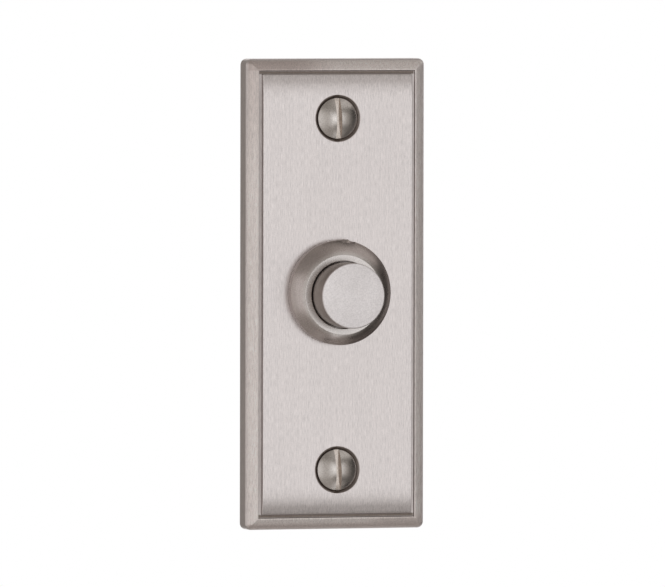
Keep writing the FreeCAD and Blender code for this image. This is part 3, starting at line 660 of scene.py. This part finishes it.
def slotted_nickel():
    """The fixing screws: speckled domes, and a smoother slot, browner with painted shade."""
    material, tree, shader, coordinates = new_material("screw_nickel", 1.0)
    speckle = stretched_noise(tree, coordinates, (4500, 4500, 4500), 4.0)
    tarnish = stretched_noise(tree, coordinates, (330, 330, 330), 3.0)
    brightness = plus(tree, ranged(tree, speckle, 0.83, 1.15), ranged(tree, tarnish, -0.08, 0.03))
    x, y, z = parted(tree, coordinates)
    forward = minus(tree, y, (SCREW_TOP + DOME_RADIUS) * MM)
    upward = minus(tree, maths(tree, "ABSOLUTE", z), SCREW_Z * MM)
    from_centre = length_of(tree, vector_of(tree, X=x, Y=forward, Z=upward))
    under_dome = zone_mask(tree, from_centre, -BEYOND, DOME_RADIUS - 0.12, 0.05)
    slot = times(tree, under_dome, zone_mask(tree, y, -BEYOND, SCREW_SEAT + 0.15, 0.05))
    # Painted shade: the slot takes a browner colour
    slot_shade = tinted(tree, SLOT_SHADE_COLOUR, brightness)
    metal = mixed_colour(tree, slot, tinted(tree, SCREW_COLOUR, brightness), slot_shade)
    tree.links.new(metal, shader.inputs["Base Color"])
    rough = minus(tree, ranged(tree, tarnish, 0.24, 0.34), times(tree, slot, 0.12))
    tree.links.new(rough, shader.inputs["Roughness"])
    bumped(tree, shader, speckle, 0.008, 0.5)
    return material


def moulding(name, colour, roughness):
    """Moulded plastic: fine speckle, slight flow clouds."""
    material, tree, shader, coordinates = new_material(name, 0.0)
    speckle = stretched_noise(tree, coordinates, (5200, 5200, 5200), 2.0)
    flow = stretched_noise(tree, coordinates, (240, 520, 240), 3.0)
    brightness = plus(tree, ranged(tree, speckle, 0.86, 1.14), ranged(tree, flow, -0.1, 0.1))
    tree.links.new(tinted(tree, colour, brightness), shader.inputs["Base Color"])
    tree.links.new(ranged(tree, flow, roughness - 0.06, roughness + 0.06), shader.inputs["Roughness"])
    bumped(tree, shader, speckle, 0.01, 0.5)
    return material


# The plate

def section_loop(half_x, half_z, radius, depth, stations, steps=8):
    """One loop round the plate: rounded corners, and its long sides split at given heights."""
    near_x = half_x - radius
    near_z = half_z - radius
    points = []
    for corner in range(4):
        middle = math.pi / 2 * corner
        centre_x = near_x if corner in (0, 3) else -near_x
        centre_z = near_z if corner in (0, 1) else -near_z
        for step in range(steps + 1):
            angle = middle + math.pi / 2 * step / steps
            points.append((centre_x + radius * math.cos(angle), centre_z + radius * math.sin(angle)))
        if corner == 1:
            points += [(-half_x, height) for height in reversed(stations)]
        if corner == 3:
            points += [(half_x, height) for height in stations]
    return [(x, depth(z) if callable(depth) else depth, z) for x, z in points]


def field_depth(height):
    """Front of the raised field, which rolls back at both ends."""
    radius = (FIELD_END_RUN**2 + FIELD_END_DROP**2) / (2 * FIELD_END_DROP)
    beyond = max(0.0, abs(height) - FIELD_FLAT)
    return -FIELD_HEIGHT + radius - math.sqrt(radius**2 - beyond**2)


def make_plate():
    """The cast plate as loops from the back's outer edge over the front, then the hollow back."""
    upper = [FIELD_FLAT + FIELD_END_RUN * share / 8 for share in range(8)]
    stations = [-height for height in reversed(upper)] + upper
    border_top = SIDE_WALL + BORDER_RISE
    groove_floor = border_top - GROOVE_DEEP
    fall = arc_points((0, SIDE_WALL), (BORDER_WIDE, border_top), BORDER_BULGE, 8)
    back = [(0.16, 0.0), (0.04, 0.05), (0.0, 0.18)]
    foot = [(0.0, SIDE_WALL - 0.22), (0.02, SIDE_WALL - 0.08), (0.09, SIDE_WALL + 0.08)]
    inner = [
        (BORDER_WIDE - 0.33, border_top - 0.070),
        (BORDER_WIDE - 0.22, border_top - 0.052),
        (BORDER_WIDE - 0.11, border_top - 0.050),
        (BORDER_WIDE - 0.03, border_top - 0.085),
        (BORDER_WIDE + 0.02, border_top - 0.18),
        (BORDER_WIDE + 0.08, groove_floor + 0.04),
        (BORDER_WIDE + 0.2, groove_floor),
        (BORDER_WIDE + GROOVE_WIDE - 0.16, groove_floor),
        (BORDER_WIDE + GROOVE_WIDE - 0.05, groove_floor + 0.05),
    ]
    section = back + foot + fall[1:-1] + inner
    bm = bmesh.new()
    rings = []

    def add(inset, depth, corner):
        radius = max(corner - inset, 0.1)
        loop = section_loop(HALF_X - inset, HALF_Z - inset, radius, depth, stations)
        rings.append([bm.verts.new(point) for point in loop])

    add(RIM_WALL + 0.05, -HOLLOW_FLOOR, HOLLOW_CORNER + RIM_WALL)
    add(RIM_WALL, -HOLLOW_FLOOR + 0.3, HOLLOW_CORNER + RIM_WALL)
    add(RIM_WALL, -0.1, HOLLOW_CORNER + RIM_WALL)
    add(RIM_WALL - 0.1, 0.0, HOLLOW_CORNER + RIM_WALL)
    for inset, height in section:
        add(inset, -height, PLATE_CORNER)
    for inset, lower in ((FIELD_INSET, 0.16), (FIELD_INSET + 0.03, 0.05), (FIELD_INSET + 0.13, 0.0)):
        add(inset, lambda height, lower=lower: field_depth(height) + lower, PLATE_CORNER)
    join_rings(bm, rings)
    fill_across(bm, rings[-1])
    bm.faces.new(rings[0])
    plate = from_bmesh("face_plate_finished", bm)

    screw_places = ((0.0, -SCREW_Z), (0.0, SCREW_Z))
    bm = bmesh.new()
    root = -HOLLOW_FLOOR - 0.3
    boss = softened([(0, root), (BOSS_RADIUS, root), (BOSS_RADIUS, 0.0, 0.15), (0, 0.0)])
    for centre in screw_places:
        lathe(bm, boss, 96, centre)
    boolean(plate, from_bmesh("bosses", bm), "UNION")

    bm = bmesh.new()
    front = -FIELD_HEIGHT
    sink = [
        (0, front - 1),
        (SINK_RIM + 0.9, front - 1),
        (SINK_RIM + 0.16, front - 0.02),
        (SINK_RIM + 0.07, front + 0.02),
        (SINK_RIM - 0.03, front + 0.09),
        (SCREW_HOLE, front + SINK_RIM - SCREW_HOLE),
        (SCREW_HOLE, 1),
        (0, 1),
    ]
    for centre in screw_places:
        lathe(bm, sink, 128, centre)
    lathe(bm, [(0, front - 1), (TAIL_HOLE, front - 1), (TAIL_HOLE, 1), (0, 1)], 144)
    boolean(plate, from_bmesh("holes", bm), "DIFFERENCE")
    shade(plate, 28)
    flat_faces_stay_flat(plate)
    return plate


def fill_across(bm, ring):
    """Close the field with strips from its left side to its right side."""
    right = sorted((v for v in ring if v.co.x > 0), key=lambda v: (round(v.co.z, 5), v.co.x))
    left = sorted((v for v in ring if v.co.x < 0), key=lambda v: (round(v.co.z, 5), -v.co.x))
    for number in range(len(right) - 1):
        bm.faces.new((left[number], right[number], right[number + 1], left[number + 1]))


# The collar, the button and the screws

def make_collar():
    """Turned ring: a steep wall with a burr, a convex shoulder and a flat top round the button."""
    front = -FIELD_HEIGHT - COLLAR_HEIGHT
    shoulder = -FIELD_HEIGHT - COLLAR_FOOT_HEIGHT
    inner = COLLAR_FOOT - COLLAR_BEVEL
    rise = arc_points((inner, shoulder), (COLLAR_TOP, front), COLLAR_BULGE, 12)
    profile = softened(
        [
            (TAIL_RADIUS, -FIELD_HEIGHT - 0.002),
            (COLLAR_FOOT - 0.001, -FIELD_HEIGHT - 0.002),
            (COLLAR_FOOT, -FIELD_HEIGHT - 0.004),
            (COLLAR_FOOT, -FIELD_HEIGHT - 0.8),
            (COLLAR_FOOT, shoulder + COLLAR_BEVEL, 0.12),
            (inner, shoulder, 0.25),
            *rise,
            (COLLAR_TOP, front, 0.25),
            (LIP_RADIUS, front, 0.14),
            (LIP_RADIUS, LIP_REAR, 0.05),
            (COLLAR_BORE, LIP_REAR),
            (COLLAR_BORE, TAIL_END, 0.1),
            (TAIL_RADIUS - 0.2, TAIL_END, 0.1),
        ],
        6,
    )
    along = TAIL_END - 0.35
    while along > -HOLLOW_FLOOR + 0.2:
        for share, depth in ((0.0, 0.0), (0.12, 0.0), (0.5, TAIL_THREAD_DEEP), (0.62, TAIL_THREAD_DEEP)):
            profile.append((TAIL_RADIUS - depth, along - TAIL_THREAD_PITCH * share))
        along -= TAIL_THREAD_PITCH
    profile.append((TAIL_RADIUS, -HOLLOW_FLOOR))
    bm = bmesh.new()
    rings = lathe(bm, profile + [profile[0]], 360)
    for ring in rings:
        for vertex in ring:
            radius = math.hypot(vertex.co.x, vertex.co.z)
            if vertex.co.y > -FIELD_HEIGHT or radius < COLLAR_TOP:
                continue
            share = min(1.0, (radius - COLLAR_TOP) / (inner - COLLAR_TOP))
            angle = math.degrees(math.atan2(vertex.co.x, vertex.co.z))
            lump = sum(high * math.exp(-(((angle - at) / wide) ** 2)) for at, wide, high in COLLAR_BURR)
            lump *= min(1.0, max(0.0, (radius - inner) / COLLAR_BEVEL))
            vertex.co.x *= 1 + lump / radius
            vertex.co.z *= 1 + lump / radius
            vertex.co.z += share * FOOT_OFF_CENTRE
    bmesh.ops.remove_doubles(bm, verts=bm.verts, dist=1e-5)
    return from_bmesh("button_collar_finished", bm)


def make_button():
    """Turned cap with a softly broken edge, its flange, stem and grooved spigot."""
    profile = softened(
        [
            (0.0, BUTTON_FACE),
            (BUTTON_RADIUS * 0.5, BUTTON_FACE),
            (BUTTON_RADIUS, BUTTON_FACE, 0.2),
            (BUTTON_RADIUS, LIP_REAR),
            (FLANGE_RADIUS, LIP_REAR, 0.08),
            (FLANGE_RADIUS, FLANGE_REAR, 0.08),
            (STEM_RADIUS, FLANGE_REAR, 0.15),
            (STEM_RADIUS, STEM_SHOULDER, 0.1),
            (SPIGOT_RADIUS, STEM_SHOULDER, 0.05),
            (SPIGOT_RADIUS, CLIP_FRONT, 0.03),
            (CLIP_NECK, CLIP_FRONT),
            (CLIP_NECK, CLIP_REAR),
            (SPIGOT_RADIUS, CLIP_REAR, 0.03),
            (SPIGOT_RADIUS, SPIGOT_END, 0.2),
            (0.0, SPIGOT_END),
        ],
        5,
    )
    return turned_piece("push_button_finished", profile, 192)


def make_spring():
    """Round wire wound about the button's axis, its end turns closed up."""
    low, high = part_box("return_spring")
    start = low.y / MM + WIRE_RADIUS
    end = high.y / MM - WIRE_RADIUS
    steps = TURN_STEPS * SPRING_TURNS
    path = []
    for step in range(steps + 1):
        share = step / steps
        closing = math.sin(2 * math.pi * share) / (2 * math.pi)
        along = start + (end - start) * (share - END_CLOSING * closing)
        angle = 2 * math.pi * SPRING_TURNS * share
        path.append(Vector((COIL_RADIUS * math.cos(angle), along, COIL_RADIUS * math.sin(angle))))
    bm = bmesh.new()
    rings = []
    for number, point in enumerate(path):
        ahead = path[min(number + 1, steps)] - path[max(number - 1, 0)]
        outward = Vector((point.x, 0, point.z)).normalized()
        upward = ahead.cross(outward).normalized()
        ring = []
        for side in range(WIRE_SIDES):
            angle = 2 * math.pi * side / WIRE_SIDES
            place = point + WIRE_RADIUS * (outward * math.cos(angle) + upward * math.sin(angle))
            ring.append(bm.verts.new(place))
        rings.append(ring)
    join_rings(bm, rings)
    bm.faces.new(rings[0])
    bm.faces.new(reversed(rings[-1]))
    return from_bmesh("return_spring_wire", bm, 50)


def screw_head():
    """Raised countersunk head down to its neck. The floor of its slot is slightly bowed."""
    rows = [(0.0, SCREW_TOP)]
    for step in range(1, 15):
        radius = (HEAD_RADIUS - 0.08) * step / 14
        rows.append((radius, SCREW_TOP + DOME_RADIUS - math.sqrt(DOME_RADIUS**2 - radius**2)))
    rows += softened(
        [
            rows[-1],
            (HEAD_RADIUS, BAND_FRONT + 0.02, 0.06),
            (HEAD_RADIUS, SCREW_SEAT, 0.05),
            (NECK_RADIUS, SCREW_SEAT + HEAD_RADIUS - NECK_RADIUS, 0.3),
            (NECK_RADIUS, NECK_END),
            (0.0, NECK_END),
        ]
    )[1:]
    head = turned_piece("screw_head", rows, 128)
    half = SLOT_WIDE / 2
    bm = bmesh.new()
    rings = []
    for step in range(-9, 10):
        along = (HEAD_RADIUS + 0.9) * step / 9
        fall = DOME_RADIUS - math.sqrt(DOME_RADIUS**2 - along**2)
        floor = SCREW_TOP + SLOT_DEEP + SLOT_BOW * fall
        section = [(-half, floor), (half, floor), (half, SCREW_TOP - 1), (-half, SCREW_TOP - 1)]
        rings.append([bm.verts.new((x, y, along)) for x, y in section])
    join_rings(bm, rings)
    bm.faces.new(rings[0])
    bm.faces.new(reversed(rings[-1]))
    boolean(head, from_bmesh("slot", bm), "DIFFERENCE")
    soften_edges(head, SLOT_EDGE_SOFT, 3)
    return head


def screw_thread():
    """Wood screw thread up to the plate's back, running out at a gimlet point."""
    bm = bmesh.new()
    around = 40
    rows = 150
    rings = []
    for row in range(rows + 1):
        along = THREAD_START + (SCREW_TIP - THREAD_START) * row / rows
        taper = min(1.0, (SCREW_TIP - along) / POINT_LONG) ** POINT_TAPER
        ring = []
        for side in range(around):
            turn = side / around
            phase = ((along / THREAD_PITCH) - turn) % 1.0
            crest = max(0.0, 1 - abs(phase - 0.5) / THREAD_CREST)
            run_in = min(1.0, (along - THREAD_START) / THREAD_PITCH)
            radius = CORE_RADIUS + (SHANK_RADIUS - CORE_RADIUS) * crest * run_in
            radius = POINT_RADIUS + (radius - POINT_RADIUS) * taper
            angle = 2 * math.pi * turn
            ring.append(bm.verts.new((radius * math.cos(angle), along, radius * math.sin(angle))))
        rings.append(ring)
    rings.insert(0, [bm.verts.new((0, THREAD_START, 0))])
    rings.append([bm.verts.new((0, SCREW_TIP, 0))])
    join_rings(bm, rings)
    return from_bmesh("screw_thread", bm, 42)


def make_screw(node):
    """One fixing screw, set at its node's place with its slot leaning off upright."""
    low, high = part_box(node)
    screw = joined(f"{node}_finished", [screw_head(), screw_thread()])
    lean = Matrix.Rotation(math.radians(-SLOT_LEAN), 4, "Y")
    middle = Matrix.Translation((0, 0, (low.z + high.z) / 2 / MM))
    screw.data.transform(middle @ lean)
    shade(screw, 40)
    flat_faces_stay_flat(screw)
    return screw


# Stage: a white world, a light tent that only the object sees, and a pale floor

def make_world():
    world = bpy.data.worlds.new("white")
    bpy.context.scene.world = world
    world.use_nodes = True
    tree = world.node_tree
    background = tree.nodes["Background"]
    path = node_in(tree, "ShaderNodeLightPath")
    seen = larger(tree, path.outputs["Is Camera Ray"], path.outputs["Is Glossy Ray"])
    seen = larger(tree, seen, path.outputs["Is Transmission Ray"])
    strength = ranged(tree, seen, WORLD_ON_DIFFUSE, 1.0, 0.0, 1.0)
    tree.links.new(strength, background.inputs["Strength"])
    background.inputs["Color"].default_value = (1, 1, 1, 1)


# Regions of the tent, painted in this order, in degrees. Azimuth runs from the front to the right:
# azimuth from and to, elevation from and to, softness across and upright, brightness
TENT_BASE = 0.38
TENT_REGIONS = (
    (-112, -25, -90, 90, 30, 20, 0.57),
    (-100, -12, 26, 72, 24, 20, 0.30),
    (-100, -12, -72, -34, 24, 20, 0.38),
    (-200, -118, -90, 90, 30, 20, 0.28),
    (58, 108, -90, 90, 28, 20, 0.05),
    (112, 200, -70, 70, 20, 20, 0.85),
    (-200, 200, 76, 100, 10, 14, 0.22),
    (8, 50, 50, 66, 22, 12, 0.42),
    (10, 92, 26, 56, 24, 10, 0.64),
    (8, 30, -82, -46, 10, 14, 0.92),
    (-200, 200, -100, -84, 10, 8, 0.06),
    (66, 130, -90, -64, 20, 6, 0.36),
    (-70, -38, -26, 22, 12, 14, 0.84),
    (-34, -18, -26, 22, 8, 14, 0.56),
    (-14, -2, -26, 22, 8, 14, 0.95),
    (6, 60, 20, 30, 12, 7, 0.20),
    (6, 84, -37, -21, 12, 7, 0.12),
    (2, 37, -20, 18, 26, 9, 1.01),
    (-3, 7, -12, 10, 8, 9, 1.55),
)
TENT_WARM = (1.0, 0.93, 0.865)


def make_tent():
    bm = bmesh.new()
    bmesh.ops.create_icosphere(bm, subdivisions=5, radius=TENT_RADIUS)
    tent = to_metres(from_bmesh("light_tent", bm))
    tent.visible_camera = False
    tent.visible_shadow = False
    tent.visible_diffuse = False
    material = bpy.data.materials.new("light_tent")
    material.use_nodes = True
    tree = material.node_tree
    tree.nodes.remove(tree.nodes["Principled BSDF"])
    emission = node_in(tree, "ShaderNodeEmission")
    tree.links.new(emission.outputs[0], tree.nodes["Material Output"].inputs["Surface"])
    coordinates = node_in(tree, "ShaderNodeTexCoord").outputs["Object"]
    normalised = node_in(tree, "ShaderNodeVectorMath", operation="NORMALIZE")
    tree.links.new(coordinates, normalised.inputs[0])
    x, y, z = parted(tree, normalised.outputs[0])
    azimuth = maths(tree, "ARCTAN2", x, times(tree, y, -1.0))
    elevation = maths(tree, "ARCSINE", z)
    brightness = None
    for *limits, level in TENT_REGIONS:
        left, right, low, high, soft_across, soft_up = map(math.radians, limits)
        across = band_mask(tree, azimuth, left, right, soft_across)
        upright = band_mask(tree, elevation, low, high, soft_up)
        mixed = node_in(tree, "ShaderNodeMix", data_type="FLOAT")
        tree.links.new(times(tree, across, upright), mixed.inputs["Factor"])
        mixed.inputs["A"].default_value = TENT_BASE
        if brightness is not None:
            tree.links.new(brightness, mixed.inputs["A"])
        mixed.inputs["B"].default_value = level
        brightness = mixed.outputs["Result"]
    tree.links.new(brightness, emission.inputs["Strength"])
    whiteness = ranged(tree, brightness, 0.0, 1.0, 0.35, 1.0)
    light = mixed_colour(tree, whiteness, TENT_WARM, (1.0, 1.0, 1.0))
    tree.links.new(light, emission.inputs["Color"])
    tent.data.materials.append(material)


def make_floor():
    bm = bmesh.new()
    bmesh.ops.create_circle(bm, cap_ends=True, radius=FLOOR_RADIUS, segments=96)
    for vertex in bm.verts:
        vertex.co.z = FLOOR_LEVEL
    floor = to_metres(from_bmesh("floor", bm))
    material = bpy.data.materials.new("pale_floor")
    material.use_nodes = True
    tree = material.node_tree
    shader = tree.nodes["Principled BSDF"]
    shader.inputs["Base Color"].default_value = (FLOOR_GREY, FLOOR_GREY, FLOOR_GREY, 1)
    shader.inputs["Roughness"].default_value = 0.9
    path = node_in(tree, "ShaderNodeLightPath")
    shader.inputs["Emission Color"].default_value = (1, 1, 1, 1)
    glow = times(tree, path.outputs["Is Camera Ray"], FLOOR_GLOW)
    tree.links.new(glow, shader.inputs["Emission Strength"])
    floor.data.materials.append(material)
    floor.visible_glossy = False


def make_camera():
    data = bpy.data.cameras.new("camera")
    data.sensor_width = SENSOR_WIDE
    data.lens = SENSOR_WIDE * PIXELS_PER_METRE * VIEW_DISTANCE / PICTURE_WIDE_PX
    data.clip_start = 0.05
    data.clip_end = 20
    camera = bpy.data.objects.new("camera", data)
    bpy.context.scene.collection.objects.link(camera)
    back = Vector(
        (
            math.sin(VIEW_AZIMUTH) * math.cos(VIEW_ELEVATION),
            -math.cos(VIEW_AZIMUTH) * math.cos(VIEW_ELEVATION),
            math.sin(VIEW_ELEVATION),
        )
    )
    turn = Quaternion(back, VIEW_ROLL) @ (-back).to_track_quat("-Z", "Y")
    right = turn @ Vector((1, 0, 0))
    up = turn @ Vector((0, 1, 0))
    aside = (PICTURE_WIDE_PX / 2 - PLATE_CENTRE_PX[0]) / PIXELS_PER_METRE
    below = (PICTURE_HIGH_PX / 2 - PLATE_CENTRE_PX[1]) / PIXELS_PER_METRE
    camera.rotation_mode = "QUATERNION"
    camera.rotation_quaternion = turn
    camera.location = back * VIEW_DISTANCE + right * aside - up * below
    bpy.context.scene.camera = camera


bpy.context.scene.view_settings.view_transform = "Standard"
make_world()
make_tent()
make_floor()
make_camera()

PLATE_NICKEL = linished_nickel()
COLLAR_NICKEL = turned_nickel("turned_nickel", COLLAR_COLOUR, 0.27, FOOT_SHADE_ZONE, FOOT_SHADE_COLOUR, 0.5)
BUTTON_NICKEL = turned_nickel("button_nickel", BUTTON_COLOUR, 0.32, SIDE_SHADE_ZONE, SIDE_SHADE_COLOUR, 0.1)
SCREW_NICKEL = slotted_nickel()
BRASS = plain_metal("plain_brass", (0.72, 0.53, 0.25), 0.28)
BRONZE = plain_metal("contact_bronze", (0.68, 0.43, 0.25), 0.26)
SILVER = plain_metal("contact_silver", (0.80, 0.79, 0.76), 0.2)
SPRING_STEEL = plain_metal("spring_steel", (0.44, 0.44, 0.45), 0.3)
ZINC = plain_metal("zinc_steel", (0.62, 0.64, 0.67), 0.3)
BLACK = moulding("black_moulding", (0.02, 0.02, 0.021), 0.42)
NYLON = moulding("white_nylon", (0.76, 0.74, 0.69), 0.45)

keep_as(make_plate(), "plate", ["face_plate"], PLATE_NICKEL)
keep_as(make_collar(), "plate", ["button_collar"], COLLAR_NICKEL)
keep_as(make_button(), "button", ["push_button"], BUTTON_NICKEL)
for screw in ("fixing_screw_top", "fixing_screw_bottom"):
    keep_as(make_screw(screw), "plate", [screw], SCREW_NICKEL)

spring = keep_as(make_spring(), "plate", ["return_spring"], SPRING_STEEL)
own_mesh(spring)

for node, material, slot in (
    ("collar_nut", BRASS, "plain_brass"),
    ("contact_housing", BLACK, "black_moulding"),
    ("terminal_base", BLACK, "black_moulding"),
    ("terminal_screw_left", BRASS, "plain_brass"),
    ("terminal_screw_right", BRASS, "plain_brass"),
    ("terminal_washer_left", BRASS, "plain_brass"),
    ("terminal_washer_right", BRASS, "plain_brass"),
    ("base_screw_top", ZINC, "zinc_steel"),
    ("base_screw_bottom", ZINC, "zinc_steel"),
):
    # The base's front has a pocket and holes in one flat face, which stays as triangles
    piece = dressed(node, join_flats=node != "terminal_base")
    keep_as(piece, "plate", [node], material)

for node, material in (
    ("lock_washer", SPRING_STEEL),
    ("retaining_clip", SPRING_STEEL),
    ("fixed_contact_left", BRONZE),
    ("fixed_contact_right", BRONZE),
    ("moving_contact", BRONZE),
    ("contact_rivet_left", SILVER),
    ("contact_rivet_right", SILVER),
    ("insulating_bush", NYLON),
    ("insulating_washer", NYLON),
):
    mesh = NODES[node].data
    mesh.materials.clear()
    mesh.materials.append(material)
